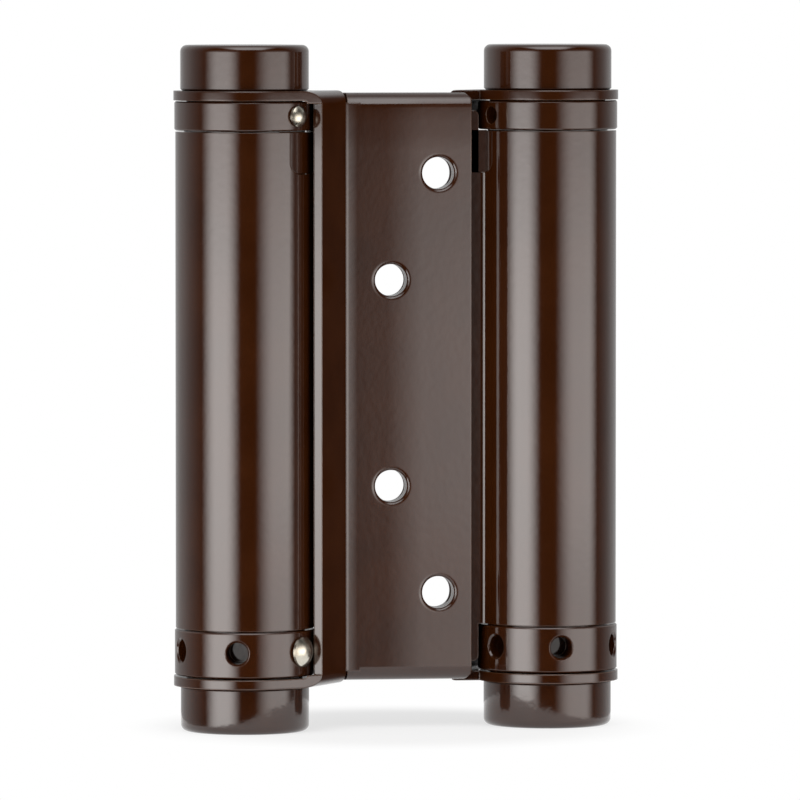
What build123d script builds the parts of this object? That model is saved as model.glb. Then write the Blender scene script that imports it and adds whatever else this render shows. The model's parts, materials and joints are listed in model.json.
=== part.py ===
from build123d import *
from math import acos, asin, atan2, ceil, cos, degrees, hypot, isclose, radians, sin, sqrt
import os

# Double-acting spring hinge, closed. Two sprung barrels stand side by side, joined by one centre
# plate whose edges are rolled into both tubes. A front leaf turns round the left barrel and a rear
# leaf round the right one. Origin on the floor midway between the barrels, front towards -Y.
# The hinge is the same after half a turn about Z, apart from the screw holes, which line up
# through all three layers, and the setting of the right tension collar.

# Leaves
leaf_height = 125.0
leaf_sheet = 2.0
rim_bend = 1.0
ear_bend = 0.6
leaf_reach = 15.5
leaf_seam = 11.25
leaf_corner = 1.2
rim_drop = 0.5
wall_angle = 57.0
wall_length = 11.6
wall_gap = 1.12
seam_slit = 0.35
slit_depth = 2.6
ear_stand = 0.2
layer_gap = 0.3

# Screw holes, the same through all three layers
screw_hole_radius = 3.375
screw_hole_rounding = 0.8
screw_hole_rise = 0.8
outer_hole_x = 8.45
outer_hole_pitch = 88.5
inner_hole_x = -1.6
inner_hole_pitch = 43.45

# Centre plate and its rolled tubes
axis_offset = 3.5
web_sheet = 1.8
web_inset = 4.3
web_corner = 1.2
web_clearance = 0.9
tube_radius = 14.55
roll_seam = 0.4
roll_bend = 1.5
notch_depth = 8.8
notch_from = -56.0
notch_to = 27.0
notch_corner = 2.4

# Collars on each barrel
collar_stand = 0.2
collar_edge = 0.3
upper_collar_height = 6.1
tension_collar_height = 9.6
ear_gap = 0.2
turning_gap = 0.3
boss_inset = 2.5
seat_gap = 0.05
thrust_gap = 0.1
spigot_height = 6.0
tommy_hole_radius = 2.3
tommy_hole_rim = 2.75
tommy_hole_depth = 6.5
tommy_hole_rise = 5.3
tommy_hole_count = 6
right_collar_turn = 16.4
upper_hole_radius = 1.9
upper_hole_depth = 6.0
upper_empty_hole_angle = 27.0

# Pins pushed into the collars
wall_pin_gap = 0.1
tension_pin_head = 3.15
tension_pin_rim = 0.5
tension_pin_dome = 1.2
tension_pin_length = 6.0
upper_pin_angle = -49.0
upper_pin_head = 2.2
upper_pin_rim = 0.5
upper_pin_dome = 0.9
upper_pin_length = 5.0
pin_fit = 0.05
pin_seat = 0.15

# Spindle and caps
spindle_radius = 5.0
spindle_chamfer = 0.6
cap_inset = 1.05
cap_height = 9.6
cap_edge = 1.4
cap_foot = 0.4
cap_roof = 3.0
running_fit = 0.05
press_fit = 0.01

# Spring and the anchor that holds its upper end
anchor_height = 12.0
anchor_fit = 0.02
key_recess = 0.25
key_clearance = 0.15
wire = 3.2
coil_room = 1.9
coil_pitch = 5.0
runs_per_turn = 12
coil_end_gap = 0.3
leg_length = 4.0
leg_fit = 0.15

# Radii that follow
collar_radius = tube_radius + collar_stand
ear_radius = collar_radius + ear_stand
cap_radius = tube_radius - cap_inset
tube_bore = tube_radius - web_sheet
boss_radius = collar_radius - boss_inset
coil_radius = tube_bore - coil_room - wire / 2

# Heights that follow
mid_height = cap_height + leaf_height / 2
web_height = leaf_height - 2 * web_inset
ear_under = mid_height + leaf_height / 2 - leaf_sheet
ear_over = mid_height - leaf_height / 2 + leaf_sheet
upper_collar_top = ear_under - ear_gap
upper_collar_bottom = upper_collar_top - upper_collar_height
tube_top = upper_collar_bottom - turning_gap
tension_collar_bottom = ear_over + turning_gap
tension_collar_top = tension_collar_bottom + tension_collar_height
tube_bottom = tension_collar_top + turning_gap
tube_height = tube_top - tube_bottom
spigot_top = tube_bottom + spigot_height
anchor_bottom = tube_top - anchor_height
anchor_top = upper_collar_bottom - thrust_gap
hinge_height = 2 * cap_height + leaf_height
tommy_hole_height = tension_collar_bottom + tommy_hole_rise
upper_hole_height = (upper_collar_top + upper_collar_bottom) / 2

# Plan view of a leaf, seen from its barrel's axis with x towards the middle of the hinge
plate_face = axis_offset - web_sheet / 2 - layer_gap - leaf_sheet
plate_back = plate_face + leaf_sheet
rim_end = axis_offset - layer_gap / 2
wall_run = (-cos(radians(wall_angle)), -sin(radians(wall_angle)))
wall_out = (sin(radians(wall_angle)), -cos(radians(wall_angle)))
wall_inner_distance = collar_radius + wall_gap
wall_distance = wall_inner_distance + leaf_sheet
seam_x = (wall_distance - plate_face * wall_out[1]) / wall_out[0]
axis_spacing = 2 * (seam_x + leaf_seam)
free_x = axis_spacing / 2 + leaf_reach
wall_end = (seam_x + wall_run[0] * wall_length, plate_face + wall_run[1] * wall_length)
seam_back_x = (wall_inner_distance - plate_back * wall_out[1]) / wall_out[0]
wall_back_end = (wall_end[0] - leaf_sheet * wall_out[0], wall_end[1] - leaf_sheet * wall_out[1])
rim_bend_outer = rim_bend + leaf_sheet
ear_bend_outer = ear_bend + leaf_sheet
wall_pin_turn = degrees(asin((tension_pin_head + wall_pin_gap) / hypot(*wall_back_end)))
tension_pin_angle = degrees(atan2(wall_back_end[1], wall_back_end[0])) - wall_pin_turn
web_stop = sqrt((collar_radius + web_clearance) ** 2 - (axis_offset - web_sheet / 2) ** 2)
web_half_width = axis_spacing / 2 - web_stop


def seat(side, height=0.0):
    """Level plane on a barrel's axis, x towards the middle of the hinge. Side -1 is the left barrel."""
    origin = (side * axis_spacing / 2, side * axis_offset, height)
    return Plane(origin=origin, x_dir=(-side, 0, 0), z_dir=(0, 0, 1))


def upright(side, angle=0.0):
    """Upright plane through a barrel's axis: x outwards at the angle, y up."""
    level = seat(side)
    out = level.x_dir.rotate(Axis.Z, angle)
    return Plane(origin=level.origin, x_dir=out, z_dir=out.cross(Vector(0, 0, 1)))


def across(side, angle, height, distance):
    """Plane square to the direction at the angle, at a distance from a barrel's axis."""
    level = seat(side, height)
    out = level.x_dir.rotate(Axis.Z, angle)
    return Plane(origin=level.origin + out * distance, x_dir=out.cross(Vector(0, 0, -1)), z_dir=out)


def barrel_axis(side):
    """Vertical axis of a barrel."""
    return Axis(seat(side).origin, (0, 0, 1))


def notch_window(side, clearance):
    """Opening below the upper collar, seen square on, smaller by the clearance all round."""
    middle = (notch_from + notch_to) / 2
    half_width = tube_radius * sin(radians((notch_to - notch_from) / 2)) - clearance
    depth = notch_depth - clearance
    with BuildSketch(across(side, middle, tube_top, 0)) as window:
        with Locations((0, -depth / 2)):
            Rectangle(2 * half_width, depth)
        fillet(window.vertices().group_by(Axis.Y)[0], notch_corner)
    return window.sketch


def rolled_tube(side):
    """One end of the centre sheet, bent into its tube, with the notch below the upper collar."""
    web_front = axis_offset - web_sheet / 2
    web_back = axis_offset + web_sheet / 2
    web_edge = axis_spacing / 2 - web_half_width
    outer_corner = (sqrt(tube_radius**2 - web_back**2), web_back)
    inner_corner = (sqrt(tube_bore**2 - web_front**2), web_front)
    with BuildPart() as tube:
        with BuildSketch(seat(side, tube_bottom)) as roll:
            Circle(tube_radius)
            with Locations((web_edge / 2 + web_corner, axis_offset)):
                Rectangle(web_edge + 2 * web_corner, web_sheet)
            Circle(tube_bore, mode=Mode.SUBTRACT)
            with Locations(((tube_bore + tube_radius) / 2, web_front - roll_seam / 2)):
                Rectangle(3 * web_sheet, roll_seam, mode=Mode.SUBTRACT)
            fillet(roll.vertices().sort_by_distance(outer_corner)[0], roll_bend)
            fillet(roll.vertices().sort_by_distance(inner_corner)[0], roll_bend)
        extrude(amount=tube_height)
        extrude(notch_window(side, 0), amount=tube_radius + 2 * web_corner, mode=Mode.SUBTRACT)
    return tube.part


def screw_holes(side):
    """The four screw holes, drawn on the upright plane of a barrel's axis so that all layers line up."""
    with BuildSketch(upright(side)) as holes:
        for hole_x, pitch in ((outer_hole_x, outer_hole_pitch), (inner_hole_x, inner_hole_pitch)):
            with Locations((axis_spacing / 2 - side * hole_x, mid_height + screw_hole_rise)):
                with GridLocations(0, pitch, 1, 2):
                    Circle(screw_hole_radius)
    return holes.sketch


with BuildPart() as centre_plate:
    add(rolled_tube(-1))
    add(rolled_tube(1))
    with BuildSketch(Plane.XZ) as web:
        with Locations((0, mid_height)):
            Rectangle(2 * web_half_width, web_height)
        fillet(web.vertices(), web_corner)
    extrude(amount=web_sheet / 2, both=True)
    extrude(screw_holes(-1), amount=axis_spacing, both=True, mode=Mode.SUBTRACT)


def tray(side):
    """Flat of a leaf with its top and bottom rims bent back towards the middle."""
    level = seat(side)
    start = level.origin + level.x_dir * (seam_x + seam_slit)
    with BuildPart() as plate:
        with BuildSketch(Plane(origin=start, x_dir=level.y_dir, z_dir=level.x_dir)) as section:
            with Locations(((plate_face + rim_end) / 2, mid_height)):
                Rectangle(rim_end - plate_face, leaf_height - 2 * rim_drop)
            fillet(section.vertices().group_by(Axis.X)[0], rim_bend_outer)
            with BuildSketch(mode=Mode.SUBTRACT) as hollow:
                with Locations((plate_back + leaf_sheet, mid_height)):
                    Rectangle(2 * leaf_sheet, leaf_height - 2 * rim_drop - 2 * leaf_sheet)
                fillet(hollow.vertices().group_by(Axis.X)[0], rim_bend)
        extrude(amount=free_x - seam_x - seam_slit)
        with BuildSketch(upright(side)) as front:
            with Locations(((seam_x + free_x) / 2, mid_height)):
                Rectangle(free_x - seam_x, leaf_height)
            chamfer(front.vertices().group_by(Axis.X)[-1], leaf_corner + rim_drop)
        extrude(amount=axis_spacing, both=True, mode=Mode.INTERSECT)
    return plate.part


def walled_ears(side):
    """Slanting wall beside the barrel, with the two ears bent from its ends over the barrel."""
    level = seat(side)
    out = level.x_dir * wall_out[0] + level.y_dir * wall_out[1]
    run = level.x_dir * wall_run[0] + level.y_dir * wall_run[1]
    far = 2 * ear_radius
    corner_angle = atan2(wall_end[1], wall_end[0])
    touch_angle = corner_angle - acos(ear_radius / hypot(*wall_end))
    touch = (ear_radius * cos(touch_angle), ear_radius * sin(touch_angle))
    with BuildPart() as channel:
        start = level.origin + out * wall_distance + run * far
        with BuildSketch(Plane(origin=start, x_dir=-out, z_dir=-run)) as section:
            with Locations((far, mid_height)):
                Rectangle(2 * far, leaf_height)
            fillet(section.vertices().group_by(Axis.X)[0], ear_bend_outer)
            with BuildSketch(mode=Mode.SUBTRACT) as hollow:
                with Locations((leaf_sheet + 2 * far, mid_height)):
                    Rectangle(4 * far, leaf_height - 2 * leaf_sheet)
                fillet(hollow.vertices().group_by(Axis.X)[0], ear_bend)
        extrude(amount=2 * far)
        with BuildSketch(level) as outline:
            Circle(ear_radius)
            with BuildLine():
                Polyline(
                    (0, 0),
                    touch,
                    wall_end,
                    (seam_x, plate_face),
                    (seam_x - rim_bend, plate_back),
                    (0, plate_back),
                    close=True,
                )
            make_face()
            Circle(spindle_radius + running_fit, mode=Mode.SUBTRACT)
        extrude(amount=hinge_height, mode=Mode.INTERSECT)
        clear_height = leaf_height - 2 * ear_bend_outer
        end_distance = wall_end[0] * wall_run[0] + wall_end[1] * wall_run[1]
        end = level.origin + out * wall_distance + run * end_distance
        end_low = end + Vector(0, 0, mid_height - clear_height / 2)
        beyond = Plane(origin=end_low, x_dir=-out, z_dir=(0, 0, 1))
        with BuildSketch(beyond):
            Rectangle(4 * leaf_sheet, far, align=(Align.CENTER, Align.MIN))
        extrude(amount=clear_height, mode=Mode.SUBTRACT)
    return channel.part


def leaf(side):
    """Pressed leaf: flat tray, slanting wall and two ears, joined along the seam between two slits."""
    joined_height = leaf_height - 2 * slit_depth
    with BuildPart() as pressed:
        add(tray(side))
        add(walled_ears(side))
        with BuildSketch(seat(side, mid_height - joined_height / 2)) as seam:
            with BuildLine():
                Polyline(
                    wall_end,
                    (seam_x, plate_face),
                    (seam_x + rim_bend_outer, plate_face),
                    (seam_x + rim_bend_outer, plate_back),
                    (seam_back_x, plate_back),
                    wall_back_end,
                    close=True,
                )
            make_face()
            fillet(seam.vertices().sort_by_distance((seam_x, plate_face))[0], rim_bend)
            fillet(seam.vertices().sort_by_distance((seam_back_x, plate_back))[0], rim_bend_outer)
        extrude(amount=joined_height)
        extrude(screw_holes(side), amount=axis_spacing, both=True, mode=Mode.SUBTRACT)
        face_y = side * (axis_offset - plate_face)
        rims = pressed.edges().filter_by(GeomType.CIRCLE).filter_by(lambda edge: edge.is_closed)
        outer_rims = rims.filter_by(lambda edge: isclose(edge.center().Y, face_y, abs_tol=0.01))
        fillet(outer_rims, screw_hole_rounding)
    return pressed.part


def anchor_key(side):
    """Tongue that stands in the tube's notch, nearly level with the tube's outside."""
    with BuildPart() as key:
        with BuildSketch(seat(side, anchor_bottom)):
            Circle(tube_radius - key_recess)
            Circle(tube_bore - web_sheet, mode=Mode.SUBTRACT)
        extrude(amount=anchor_height)
        extrude(notch_window(side, key_clearance), amount=2 * tube_radius, mode=Mode.INTERSECT)
    return key.part


def spring_anchor(side):
    """Plug in the top of a tube, keyed into the tube's notch, with a hole for the spring's upper leg."""
    with BuildPart() as anchor:
        with BuildSketch(seat(side, anchor_bottom)):
            Circle(tube_bore - anchor_fit)
        extrude(amount=anchor_top - anchor_bottom)
        add(anchor_key(side))
        with BuildSketch(seat(side, anchor_bottom)):
            Circle(spindle_radius + running_fit)
        extrude(amount=anchor_top - anchor_bottom, mode=Mode.SUBTRACT)
        socket = leg_socket(seat(side, anchor_bottom))
        extrude(socket, amount=leg_length + coil_end_gap, mode=Mode.SUBTRACT)
    return anchor.part


def coil_height():
    """Height of the coil's centre line between the anchor and the collar's spigot."""
    return anchor_bottom - spigot_top - 2 * coil_end_gap - wire


def coil_plane(side, height):
    """Level plane on a barrel's axis, x towards the place where the coil's lower leg stands."""
    level = seat(side, height)
    turned = level.x_dir.rotate(Axis.Z, -360 * coil_height() / coil_pitch)
    return Plane(origin=level.origin, x_dir=turned, z_dir=(0, 0, 1))


def leg_socket(plane):
    """Round hole that takes one square leg of the spring."""
    with BuildSketch(plane) as socket:
        with Locations((coil_radius, 0)):
            Circle(wire / sqrt(2) + leg_fit)
    return socket.sketch


def spring(side):
    """Torsion spring of square wire, its turns bent in short runs, with a straight leg at each end."""
    bottom = spigot_top + coil_end_gap + wire / 2
    runs = round(runs_per_turn * coil_height() / coil_pitch)
    lower = coil_plane(side, bottom)
    centre_line = []
    for run in range(runs + 1):
        angle = 360 * coil_height() / coil_pitch * run / runs
        reach = lower.x_dir.rotate(Axis.Z, angle) * coil_radius
        centre_line.append(lower.origin + reach + Vector(0, 0, coil_height() * run / runs))
    foot = centre_line[0] - Vector(0, 0, leg_length + coil_end_gap + wire / 2)
    tip = centre_line[-1] + Vector(0, 0, leg_length + coil_end_gap + wire / 2)
    with BuildPart() as coil:
        with BuildLine():
            Polyline(foot, *centre_line, tip)
        with BuildSketch(Plane(origin=foot, x_dir=lower.x_dir, z_dir=(0, 0, 1))):
            Rectangle(wire, wire)
        sweep(transition=Transition.RIGHT)
    return coil.part


def tension_collar(side, turn):
    """Adjusting collar: a ring with blind tommy-bar holes, a spigot in the tube and a boss on the ear."""
    with BuildPart() as collar:
        with BuildSketch(upright(side)) as section:
            with BuildLine():
                Polyline(
                    (spindle_radius + running_fit, ear_over + thrust_gap),
                    (boss_radius, ear_over + thrust_gap),
                    (boss_radius, tension_collar_bottom),
                    (collar_radius, tension_collar_bottom),
                    (collar_radius, tension_collar_top),
                    (tube_bore - running_fit, tension_collar_top),
                    (tube_bore - running_fit, spigot_top),
                    (spindle_radius + running_fit, spigot_top),
                    close=True,
                )
            make_face()
            chamfer(section.vertices().group_by(Axis.X)[-1], collar_edge)
        revolve(axis=barrel_axis(side))
        for step in range(tommy_hole_count):
            angle = tension_pin_angle + turn + step * 360 / tommy_hole_count
            with Locations(across(side, angle, tommy_hole_height, collar_radius)):
                CounterSinkHole(tommy_hole_radius, tommy_hole_rim, tommy_hole_depth)
        socket = leg_socket(coil_plane(side, spigot_top))
        extrude(socket, amount=-leg_length - coil_end_gap, mode=Mode.SUBTRACT)
    return collar.part


def upper_collar(side):
    """Collar between the upper ear and the tube, with two blind pin holes and a boss on the ear."""
    with BuildPart() as collar:
        with BuildSketch(upright(side)) as section:
            with BuildLine():
                Polyline(
                    (spindle_radius + running_fit, upper_collar_bottom),
                    (collar_radius, upper_collar_bottom),
                    (collar_radius, upper_collar_top),
                    (boss_radius, upper_collar_top),
                    (boss_radius, ear_under - seat_gap),
                    (spindle_radius + running_fit, ear_under - seat_gap),
                    close=True,
                )
            make_face()
            chamfer(section.vertices().group_by(Axis.X)[-1], collar_edge)
        revolve(axis=barrel_axis(side))
        for angle in (upper_pin_angle, upper_empty_hole_angle):
            with Locations(across(side, angle, upper_hole_height, collar_radius)):
                Hole(upper_hole_radius, upper_hole_depth)
    return collar.part


def domed_pin(side, angle, height, shank, head, rim, dome, length):
    """Pin pushed into a collar: straight shank and a domed head that stands on the collar."""
    under = collar_radius + pin_seat
    crown = (dome**2 + head**2) / (2 * dome)
    with BuildPart() as pin:
        with BuildSketch(upright(side, angle)):
            with BuildLine():
                Polyline(
                    (under + rim + dome, height),
                    (collar_radius - length, height),
                    (collar_radius - length, height + shank),
                    (under, height + shank),
                    (under, height + head),
                    (under + rim, height + head),
                )
                RadiusArc((under + rim, height + head), (under + rim + dome, height), crown)
            make_face()
        out = seat(side).x_dir.rotate(Axis.Z, angle)
        revolve(axis=Axis(seat(side, height).origin, out))
    return pin.part


def spindle(side):
    """Rod from cap to cap that the barrel turns on."""
    length = hinge_height - 2 * cap_roof
    with BuildPart() as rod:
        with BuildSketch(upright(side)) as section:
            with Locations((spindle_radius / 2, hinge_height / 2)):
                Rectangle(spindle_radius, length)
            chamfer(section.vertices().group_by(Axis.X)[-1], spindle_chamfer)
        revolve(axis=barrel_axis(side))
    return rod.part


def cap(side, upside_down):
    """Turned cap pressed on the end of the spindle, with a rounded rim and a small foot bevel."""
    bore = spindle_radius + press_fit
    foot = leaf_height + cap_height
    top = hinge_height
    with BuildPart() as knob:
        with BuildSketch(upright(side)) as section:
            with BuildLine():
                Polyline(
                    (0, top),
                    (cap_radius, top),
                    (cap_radius, foot),
                    (bore, foot),
                    (bore, top - cap_roof),
                    (0, top - cap_roof),
                    close=True,
                )
            make_face()
            fillet(section.vertices().sort_by_distance((cap_radius, top))[0], cap_edge)
            chamfer(section.vertices().sort_by_distance((cap_radius, foot))[0], cap_foot)
        revolve(axis=barrel_axis(side))
        if upside_down:
            middle = Plane.XY.offset(mid_height)
            mirror(about=middle, mode=Mode.REPLACE)
    return knob.part


os.makedirs("parts", exist_ok=True)


def keep(solid, label):
    """Name a finished piece and write it to its own file."""
    solid.label = label
    export_step(solid, f"parts/{label}.step")


tension_pin_shank = tommy_hole_radius - pin_fit
upper_pin_shank = upper_hole_radius - pin_fit
tommy_step = 360 / tommy_hole_count

barrels = ((-1, "left", "front_leaf", 0), (1, "right", "rear_leaf", right_collar_turn))

keep(centre_plate.part, "centre_plate")
for side, name, leaf_name, turn in barrels:
    pin_angle = tension_pin_angle + turn - tommy_step * ceil(turn / tommy_step)
    keep(leaf(side), leaf_name)
    keep(spindle(side), f"{name}_spindle")
    keep(cap(side, False), f"{name}_top_cap")
    keep(cap(side, True), f"{name}_bottom_cap")
    keep(upper_collar(side), f"{name}_upper_collar")
    keep(
        domed_pin(
            side, upper_pin_angle, upper_hole_height, upper_pin_shank,
            upper_pin_head, upper_pin_rim, upper_pin_dome, upper_pin_length,
        ),
        f"{name}_upper_pin",
    )
    keep(tension_collar(side, turn), f"{name}_tension_collar")
    keep(
        domed_pin(
            side, pin_angle, tommy_hole_height, tension_pin_shank,
            tension_pin_head, tension_pin_rim, tension_pin_dome, tension_pin_length,
        ),
        f"{name}_tension_pin",
    )
    keep(spring_anchor(side), f"{name}_spring_anchor")
    keep(spring(side), f"{name}_spring")
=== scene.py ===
import json
from math import cos, radians, sin, sqrt

import bpy
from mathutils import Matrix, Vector


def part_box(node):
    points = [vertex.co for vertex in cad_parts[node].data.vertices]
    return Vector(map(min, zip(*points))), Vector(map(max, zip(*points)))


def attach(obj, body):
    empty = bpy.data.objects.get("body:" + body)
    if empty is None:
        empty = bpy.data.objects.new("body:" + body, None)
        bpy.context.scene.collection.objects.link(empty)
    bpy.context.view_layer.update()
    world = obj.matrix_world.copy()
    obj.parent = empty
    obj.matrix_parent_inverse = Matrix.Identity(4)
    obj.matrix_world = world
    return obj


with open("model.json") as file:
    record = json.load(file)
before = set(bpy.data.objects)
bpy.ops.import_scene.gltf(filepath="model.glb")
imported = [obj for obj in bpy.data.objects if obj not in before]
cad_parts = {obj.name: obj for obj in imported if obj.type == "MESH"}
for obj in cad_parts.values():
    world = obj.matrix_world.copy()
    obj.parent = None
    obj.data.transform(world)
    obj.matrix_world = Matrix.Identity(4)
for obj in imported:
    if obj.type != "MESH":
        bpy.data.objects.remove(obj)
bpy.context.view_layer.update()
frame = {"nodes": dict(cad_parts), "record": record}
nodes = frame["nodes"]

# Metres throughout, with Z up and the front of the hinge towards -Y. CENTRE is its middle.
MM = 0.001
CENTRE = Vector((0.0, 0.0, 0.0721))
WHITE = (1, 1, 1, 1)
BEVEL_SAMPLES = 6

# Where the camera stands, in metres and degrees, and the point beside CENTRE that it looks at
CAMERA_DISTANCE = 1.9
CAMERA_TURN = -8.05
CAMERA_LIFT = 2.69
CAMERA_AIM = Vector((0.0007, 0, -0.0029))


class Nodes:
    """A node tree, with short calls to add and join its nodes."""

    def __init__(self, owner):
        owner.use_nodes = True
        self.owner = owner
        self.tree = owner.node_tree
        self.tree.nodes.clear()

    def add(self, kind, inputs=None, **settings):
        node = self.tree.nodes.new(kind)
        for key, value in settings.items():
            setattr(node, key, value)
        for key, value in (inputs or {}).items():
            if isinstance(value, bpy.types.NodeSocket):
                self.tree.links.new(value, node.inputs[key])
            else:
                node.inputs[key].default_value = value
        return node

    def noise(self, at, scale, detail=2.0, rough=0.5):
        values = {"Vector": at, "Scale": scale, "Detail": detail, "Roughness": rough}
        return self.add("ShaderNodeTexNoise", values).outputs["Fac"]

    def ramp(self, value, low, high, from_value=0.0, to_value=1.0, kind="SMOOTHSTEP"):
        """Goes from one value to the other while the input goes from low to high."""
        values = {0: value, 1: low, 2: high, 3: from_value, 4: to_value}
        return self.add("ShaderNodeMapRange", values, interpolation_type=kind).outputs[0]

    def math(self, operation, first, second=0.0):
        return self.add("ShaderNodeMath", {0: first, 1: second}, operation=operation).outputs[0]

    def times(self, first, second):
        return self.math("MULTIPLY", first, second)

    def limit(self, value, top):
        """The value, kept between 0 and the top."""
        return self.math("MAXIMUM", self.math("MINIMUM", value, top), 0.0)

    def mix(self, amount, first, second):
        values = {0: amount, 6: first, 7: second}
        return self.add("ShaderNodeMix", data_type="RGBA", inputs=values).outputs[2]

    def blend(self, amount, first, second):
        """As mix, for plain numbers."""
        return self.add("ShaderNodeMix", {"Factor": amount, "A": first, "B": second}).outputs[0]

    def part(self, vector, axis):
        return self.add("ShaderNodeSeparateXYZ", {0: vector}).outputs[axis]

    def place(self, scale=(1, 1, 1)):
        """Object coordinates, stretched."""
        source = self.add("ShaderNodeTexCoord").outputs["Object"]
        return self.add("ShaderNodeMapping", {"Vector": source, "Scale": scale}).outputs[0]

    def edges(self, width):
        """Rounded normal, and how far it leans from the true one: 0 on flats, up at edges."""
        soft = self.add("ShaderNodeBevel", {"Radius": width}, samples=BEVEL_SAMPLES).outputs[0]
        true = self.add("ShaderNodeNewGeometry").outputs["Normal"]
        values = {0: soft, 1: true}
        lean = self.add("ShaderNodeVectorMath", values, operation="DOT_PRODUCT").outputs["Value"]
        return soft, self.math("SUBTRACT", 1.0, lean)

    def bump(self, height, distance, strength=1.0, normal=None):
        values = {"Height": height, "Distance": distance, "Strength": strength}
        if normal is not None:
            values["Normal"] = normal
        return self.add("ShaderNodeBump", values).outputs[0]

    def principled(self, values):
        return self.finish(self.add("ShaderNodeBsdfPrincipled", values).outputs[0])

    def finish(self, shader, kind="ShaderNodeOutputMaterial"):
        self.add(kind, {"Surface": shader})
        return self.owner


def material(name):
    return Nodes(bpy.data.materials.new(name))


# Materials

# A noise is given by its scale, its detail and, where it isn't the usual one, its roughness. A pair
# of numbers after a noise says between which of its values something changes.
MIDTONES = (0.3, 0.7)

# Brown enamel
EDGE = 0.00025
LEAF_EDGE = 0.00045
ENAMEL_DARK = (0.026, 0.0062, 0.0010, 1)
ENAMEL_LIGHT = (0.034, 0.0088, 0.0018, 1)
SPECK_COLOUR = (0.085, 0.036, 0.018, 1)
SPECK_NOISE = (2600.0, 2.0, 0.7)
SPECK_FROM = (0.66, 0.8)
SPECK_SHARE = 0.35
THIN_COLOUR = (0.17, 0.085, 0.045, 1)
THIN_LEAN = (0.04, 0.3)
THIN_FROM = (0.25, 0.65)
THIN_SHARES = (0.25, 0.9)
CLOUD_NOISE = (70.0, 3.0, 0.6)
PEEL_NOISE = (620.0, 1.5)
PEEL_HEIGHT = 0.00006
PEEL_STRENGTH = 0.2
ENAMEL_IOR = 1.5
ENAMEL_ROUGHNESS_FROM = (0.2, 0.8)
ENAMEL_ROUGHNESS = (0.26, 0.36)
ENAMEL_SPECULAR = 0.05
COAT_ROUGHNESS = 0.07
COAT_IOR = 1.7

# The leaves' lean, as a slope, and their slight bends: where each begins, its width and its radius
LEAF_LEAN = 0.042
BEND_START = -0.0025
BEND_WIDTH = 0.0075
BEND_RADIUS = 0.112
SEAM_BEND_START = -0.0088
SEAM_BEND_WIDTH = 0.0024
SEAM_BEND_RADIUS = 0.022
TOP_BEND_START = 0.122
TOP_BEND_RADIUS = 0.1

# The leaves' slanting wall: how far a face turns sideways where its coat goes dull, the gloss that
# is left there, and the coat's roughness, which grows while the gloss falls through DULL_FROM
WALL_FACING = (0.55, 0.8)
WALL_GLOSS = 0.05
WALL_ROUGHNESS = 0.3
DULL_FROM = (0.1, 1.0)

# Bare metals
NICKEL_LIGHT = (0.74, 0.71, 0.62, 1)
NICKEL_DARK = (0.6, 0.55, 0.45, 1)
NICKEL_CLOUD = (260.0, 3.0, 0.6)
NICKEL_GRAIN = (4200.0, 2.0, 0.6)
NICKEL_GRAIN_HEIGHT = 0.00001
NICKEL_ROUGHNESS_FROM = (0.25, 0.75)
NICKEL_ROUGHNESS = (0.2, 0.3)
STEEL_EDGE = 0.0002
STEEL_RINGS = (90.0, 3.0, 0.65)
STEEL_RING_HEIGHT = 0.00002
STEEL_STAIN = (140.0, 4.0, 0.6)
STEEL_ROUGHNESS_SPREAD = 0.16
GRAIN_STRENGTH = 0.5


def leaf_bends(s, at, side):
    """Height field of a leaf's slight bends: across its flat, beside the seam and at its top rim."""
    across = s.times(s.part(at, "X"), side)
    off = s.math("SUBTRACT", across, BEND_START)
    near = s.limit(off, BEND_WIDTH)
    bent = s.math("SUBTRACT", off, s.times(near, 0.5))
    bent = s.times(s.times(bent, near), -1 / BEND_RADIUS)
    height = s.math("ADD", bent, s.times(off, -LEAF_LEAN))
    seam = s.limit(s.math("SUBTRACT", SEAM_BEND_START, across), SEAM_BEND_WIDTH)
    height = s.math("ADD", height, s.times(s.times(seam, seam), 0.5 / SEAM_BEND_RADIUS))
    up = s.math("MAXIMUM", s.math("SUBTRACT", s.part(at, "Z"), TOP_BEND_START), 0.0)
    return s.math("ADD", height, s.times(s.times(up, up), -0.5 / TOP_BEND_RADIUS))


def wall_gloss(s, side):
    """Gloss that is full on a leaf and low on its slanting wall."""
    facing = s.part(s.add("ShaderNodeTexCoord").outputs["Normal"], "X")
    return s.ramp(s.times(facing, side), *WALL_FACING, 1.0, WALL_GLOSS)


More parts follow.
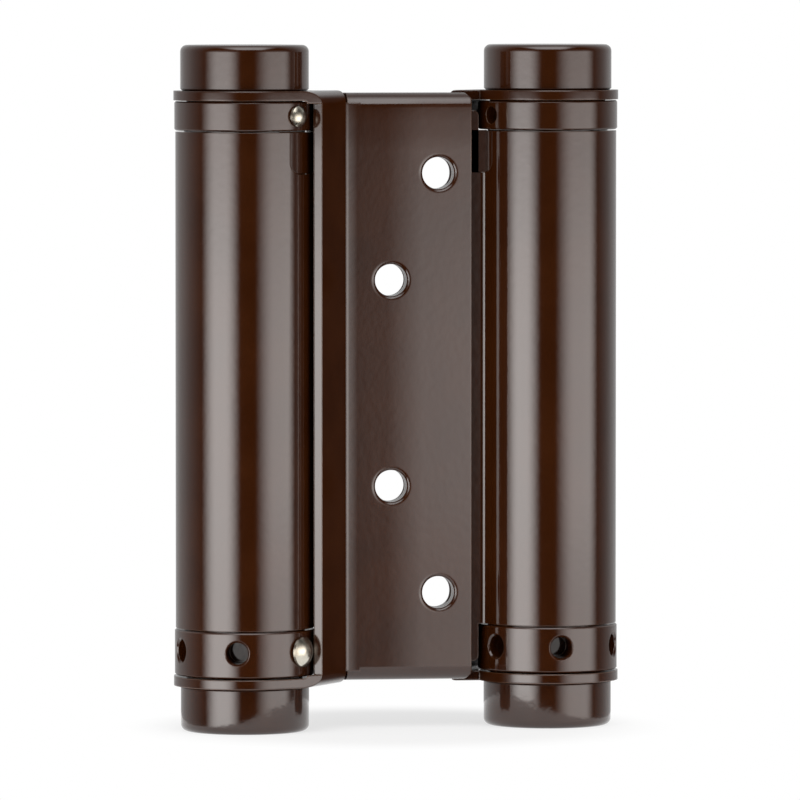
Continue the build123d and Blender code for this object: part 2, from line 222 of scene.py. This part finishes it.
def brown_enamel(name, side=0):
    """Dark brown baked enamel: a glossy coat with a faint orange peel, thinner along edges.

    side is 1 for the front leaf, -1 for the rear one and 0 for the rest. A leaf's flat is slightly
    bent, and the wall beside it is dull.
    """
    s = material(name)
    at = s.place()
    peel = s.noise(at, *PEEL_NOISE)
    cloud = s.noise(at, *CLOUD_NOISE)
    speck = s.noise(at, *SPECK_NOISE)
    soft, lean = s.edges(LEAF_EDGE if side else EDGE)
    body = s.mix(s.ramp(cloud, *MIDTONES), ENAMEL_DARK, ENAMEL_LIGHT)
    body = s.mix(s.ramp(speck, *SPECK_FROM, 0.0, SPECK_SHARE), body, SPECK_COLOUR)
    thin = s.times(s.ramp(lean, *THIN_LEAN), s.ramp(cloud, *THIN_FROM, *THIN_SHARES))
    body = s.mix(thin, body, THIN_COLOUR)
    gloss = 1.0
    specular = ENAMEL_SPECULAR
    coat_roughness = COAT_ROUGHNESS
    if side:
        soft = s.bump(leaf_bends(s, at, side), 1.0, normal=soft)
        gloss = wall_gloss(s, side)
        specular = s.times(gloss, ENAMEL_SPECULAR)
        coat_roughness = s.ramp(gloss, *DULL_FROM, WALL_ROUGHNESS, COAT_ROUGHNESS)
    normal = s.bump(peel, PEEL_HEIGHT, PEEL_STRENGTH, soft)
    return s.principled({
        "Base Color": body,
        "Roughness": s.ramp(speck, *ENAMEL_ROUGHNESS_FROM, *ENAMEL_ROUGHNESS),
        "IOR": ENAMEL_IOR,
        "Specular IOR Level": specular,
        "Coat Weight": gloss,
        "Coat Roughness": coat_roughness,
        "Coat IOR": COAT_IOR,
        "Normal": normal,
        "Coat Normal": normal,
    })


def bright_nickel():
    """Bright, slightly warm plating over a turned head."""
    s = material("bright_nickel")
    at = s.place()
    cloud = s.noise(at, *NICKEL_CLOUD)
    grain = s.noise(at, *NICKEL_GRAIN)
    return s.principled({
        "Base Color": s.mix(s.ramp(cloud, *MIDTONES), NICKEL_LIGHT, NICKEL_DARK),
        "Metallic": 1.0,
        "Roughness": s.ramp(cloud, *NICKEL_ROUGHNESS_FROM, *NICKEL_ROUGHNESS),
        "Normal": s.bump(grain, NICKEL_GRAIN_HEIGHT, GRAIN_STRENGTH),
    })


def turned_steel(name, dark, light, rough, lines):
    """Steel with fine rings round the vertical axis, and stained patches."""
    s = material(name)
    rings = s.noise(s.place((1, 1, lines)), *STEEL_RINGS)
    stain = s.noise(s.place(), *STEEL_STAIN)
    soft = s.edges(STEEL_EDGE)[0]
    return s.principled({
        "Base Color": s.mix(s.ramp(stain, *MIDTONES), dark, light),
        "Metallic": 1.0,
        "Roughness": s.ramp(rings, *MIDTONES, rough, rough + STEEL_ROUGHNESS_SPREAD),
        "Normal": s.bump(rings, STEEL_RING_HEIGHT, GRAIN_STRENGTH, soft),
    })


finishes = {
    "brown_enamel": brown_enamel("brown_enamel"),
    "bright_nickel": bright_nickel(),
    "spring_steel": turned_steel(
        "spring_steel", dark=(0.05, 0.028, 0.016, 1), light=(0.09, 0.055, 0.036, 1), rough=0.4, lines=1
    ),
    "machined_steel": turned_steel(
        "machined_steel", dark=(0.13, 0.08, 0.05, 1), light=(0.19, 0.125, 0.085, 1), rough=0.3, lines=60
    ),
}
for entry in frame["record"]["subparts"]:
    piece = nodes[entry["node"]]
    for slot in piece.material_slots:
        slot.material = finishes[entry["material_slot"]]
for name, side in (("front_leaf", 1), ("rear_leaf", -1)):
    enamel = brown_enamel("brown_enamel_" + name, side)
    for slot in nodes[name].material_slots:
        slot.material = enamel


def mesh_object(name, points, faces, finish):
    """A new object in the scene, with one material."""
    mesh = bpy.data.meshes.new(name)
    mesh.from_pydata(points, [], faces)
    mesh.materials.append(finish)
    thing = bpy.data.objects.new(name, mesh)
    bpy.context.scene.collection.objects.link(thing)
    return thing


# Painted shade: a dark enamel sheet that closes the slit in the notch beside each key, where there is
# only shade. Thickness of the sheet, how far it reaches from the key and its gap to the key, the number
# of steps round the key, and the depth of the notch

WEB_SHEET = 1.8 * MM
SHADE_SHEET_REACH = 3.6 * MM
SHADE_SHEET_GAP = 0.05 * MM
SHADE_SHEET_STEPS = 8
NOTCH_DEPTH = 9.0 * MM


def notch_shade_sheet(name, body):
    """Painted shade: a dark enamel sheet in the notch between a key and the web, up to the collar,
    drawn round the key.
    """
    low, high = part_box(name + "_spindle")
    axis_x = (low[0] + high[0]) / 2
    axis_y = (low[1] + high[1]) / 2
    way = -1 if axis_x > 0 else 1
    low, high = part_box(name + "_spring_anchor")
    radius = (high[0] - axis_x if way > 0 else axis_x - low[0]) + SHADE_SHEET_GAP
    outline = []
    for step in range(SHADE_SHEET_STEPS + 1):
        y = abs(axis_y) + WEB_SHEET * (step / SHADE_SHEET_STEPS - 0.5)
        outline.append((sqrt(radius**2 - y**2), y))
    outline.append((radius + SHADE_SHEET_REACH, outline[-1][1]))
    outline.append((radius + SHADE_SHEET_REACH, outline[0][1]))
    count = len(outline)
    points = []
    for z in (high[2] - NOTCH_DEPTH, high[2]):
        points += [(axis_x + way * x, axis_y + way * y, z) for x, y in outline]
    faces = [tuple(range(count))[::-1], tuple(range(count, 2 * count))]
    faces += [(k, (k + 1) % count, (k + 1) % count + count, k + count) for k in range(count)]
    piece = mesh_object(name + "_notch_shade_sheet", points, faces, finishes["brown_enamel"])
    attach(piece, body)


# Painted shade: dark sheets that fill the slits beside the keys, where there is only shade
notch_shade_sheet("left", "centre")
notch_shade_sheet("right", "centre")


# Stage

FLOOR_RADIUS = 0.064
FLOOR_SIDES = 120
FLOOR_DARK = (0.86, 0.86, 0.86, 1)
FLOOR_LIGHT = (0.9, 0.9, 0.9, 1)
FLOOR_NOISE = (30.0, 3.0)

# Distances between which the floor turns white, and how white it is already before them
FADE = (0.034, 0.06)
FADE_SHARE = 0.7


def floor_material():
    """Pale matt floor that turns into the white background away from the hinge."""
    s = material("floor")
    at = s.add("ShaderNodeTexCoord").outputs["Object"]
    away = s.add("ShaderNodeVectorMath", {0: at}, operation="LENGTH").outputs["Value"]
    cloud = s.noise(at, *FLOOR_NOISE)
    colour = s.mix(cloud, FLOOR_DARK, FLOOR_LIGHT)
    matt = s.add("ShaderNodeBsdfDiffuse", {"Color": colour}).outputs[0]
    path = s.add("ShaderNodeLightPath").outputs
    seen = s.math("MAXIMUM", path["Is Camera Ray"], path["Is Glossy Ray"])
    seen = s.math("MAXIMUM", seen, path["Is Transmission Ray"])
    white = s.add("ShaderNodeEmission", {"Color": WHITE, "Strength": 1.0}).outputs[0]
    fade = s.times(s.ramp(away, *FADE, FADE_SHARE, 1.0), seen)
    return s.finish(s.add("ShaderNodeMixShader", {0: fade, 1: matt, 2: white}).outputs[0])


ring = []
for step in range(FLOOR_SIDES):
    angle = radians(360 / FLOOR_SIDES * step)
    ring.append((FLOOR_RADIUS * cos(angle), FLOOR_RADIUS * sin(angle), 0))
floor = mesh_object("floor", ring, [tuple(range(FLOOR_SIDES))], floor_material())


def direction(turn, lift):
    """Unit vector from the hinge, turned from -Y towards +X and lifted, both in degrees."""
    flat = cos(radians(lift))
    return Vector((sin(radians(turn)) * flat, -cos(radians(turn)) * flat, sin(radians(lift))))


def aim(thing, target):
    thing.rotation_euler = (Vector(target) - thing.location).to_track_quat("-Z", "Y").to_euler()


# Power for each square metre at which a light's own strength of 1 is a radiance of 1
LIGHT_POWER = 3.14159

# How a softbox fades over its height: 0 is its lower end and 1 its upper end
TIP_FADE = (0.82, 0.66)
TIP_SHARE = 0.15
TOP_FADE = (0.66, 0.47)
TOP_SHARE = 0.5
FOOT_FADE = (0.36, 0.42)

# Distance from the hinge and height of the two softboxes at its sides
SIDE_DISTANCE = 0.5
SIDE_HEIGHT = 0.6


def softbox(name, turn, lift, distance, width, height, radiance, rise, fall, foot, colour):
    """A rectangular light facing the hinge from a direction.

    Across its width it grows over the share rise from one side and fades over the share fall.
    Its upper part fades to TOP_SHARE, its tip to TIP_SHARE of that, and its lower part to the share
    foot.
    """
    lamp = bpy.data.lights.new(name, "AREA")
    lamp.shape = "RECTANGLE"
    lamp.size = width
    lamp.size_y = height
    lamp.energy = LIGHT_POWER * width * height
    n = Nodes(lamp)
    place = n.add("ShaderNodeNewGeometry").outputs["Parametric"]
    place = n.add("ShaderNodeSeparateXYZ", {0: place}).outputs
    across = n.times(n.ramp(place["X"], 0.0, rise), n.ramp(place["X"], 1.0, 1.0 - fall))
    tip = n.ramp(place["Y"], *TIP_FADE, TIP_SHARE, 1.0)
    top = n.times(tip, n.ramp(place["Y"], *TOP_FADE, TOP_SHARE, 1.0))
    level = n.times(across, n.times(top, n.ramp(place["Y"], *FOOT_FADE, foot, 1.0)))
    glow = n.add("ShaderNodeEmission", {"Color": colour, "Strength": n.times(level, radiance)})
    n.finish(glow.outputs[0], "ShaderNodeOutputLight")
    thing = bpy.data.objects.new(name, lamp)
    bpy.context.scene.collection.objects.link(thing)
    thing.location = CENTRE + direction(turn, lift) * distance
    aim(thing, CENTRE)


softbox(
    "left_softbox", turn=CAMERA_TURN - 42.0, lift=0.0, distance=SIDE_DISTANCE,
    width=0.675, height=SIDE_HEIGHT, radiance=4.6, rise=0.42, fall=0.4, foot=0.95,
    colour=(1, 0.97, 0.95, 1),
)
softbox(
    "right_softbox", turn=CAMERA_TURN + 53.5, lift=0.0, distance=SIDE_DISTANCE,
    width=0.825, height=SIDE_HEIGHT, radiance=2.98, rise=0.45, fall=0.3, foot=0.8,
    colour=(1, 0.95, 0.92, 1),
)
softbox(
    "top_softbox", turn=0.0, lift=75.0, distance=0.9,
    width=1.2, height=1.3, radiance=2.6, rise=0.3, fall=0.3, foot=1.0,
    colour=WHITE,
)

# The surroundings light the hinge softly, and mirror brighter from behind it than from the front
SURROUNDINGS = 0.25
MIRRORED_FROM = (-0.2, 0.6)
MIRRORED = 0.5

world = bpy.data.worlds.new("studio")
bpy.context.scene.world = world
sky = Nodes(world)
behind = sky.part(sky.add("ShaderNodeTexCoord").outputs["Generated"], "Y")
mirrored = sky.ramp(behind, *MIRRORED_FROM, 0.0, MIRRORED, kind="LINEAR")
path = sky.add("ShaderNodeLightPath").outputs
unseen = sky.blend(path["Is Glossy Ray"], SURROUNDINGS, mirrored)
seen = sky.math("MAXIMUM", path["Is Camera Ray"], path["Is Transmission Ray"])
strength = sky.blend(seen, unseen, 1.0)
light = sky.add("ShaderNodeBackground", {"Color": WHITE, "Strength": strength}).outputs[0]
sky.finish(light, "ShaderNodeOutputWorld")


# Camera

SENSOR_WIDTH = 36.0
PICTURE_PIXELS = 800
FOCAL_PIXELS = 9000
NEAREST = 0.05

lens = bpy.data.cameras.new("camera")
lens.sensor_width = SENSOR_WIDTH
lens.lens = SENSOR_WIDTH * FOCAL_PIXELS / PICTURE_PIXELS
lens.clip_start = NEAREST
camera = bpy.data.objects.new("camera", lens)
bpy.context.scene.collection.objects.link(camera)
camera.location = CENTRE + direction(CAMERA_TURN, CAMERA_LIFT) * CAMERA_DISTANCE
aim(camera, CENTRE + CAMERA_AIM)
bpy.context.scene.camera = camera

view = bpy.context.scene.view_settings
view.view_transform = "Standard"
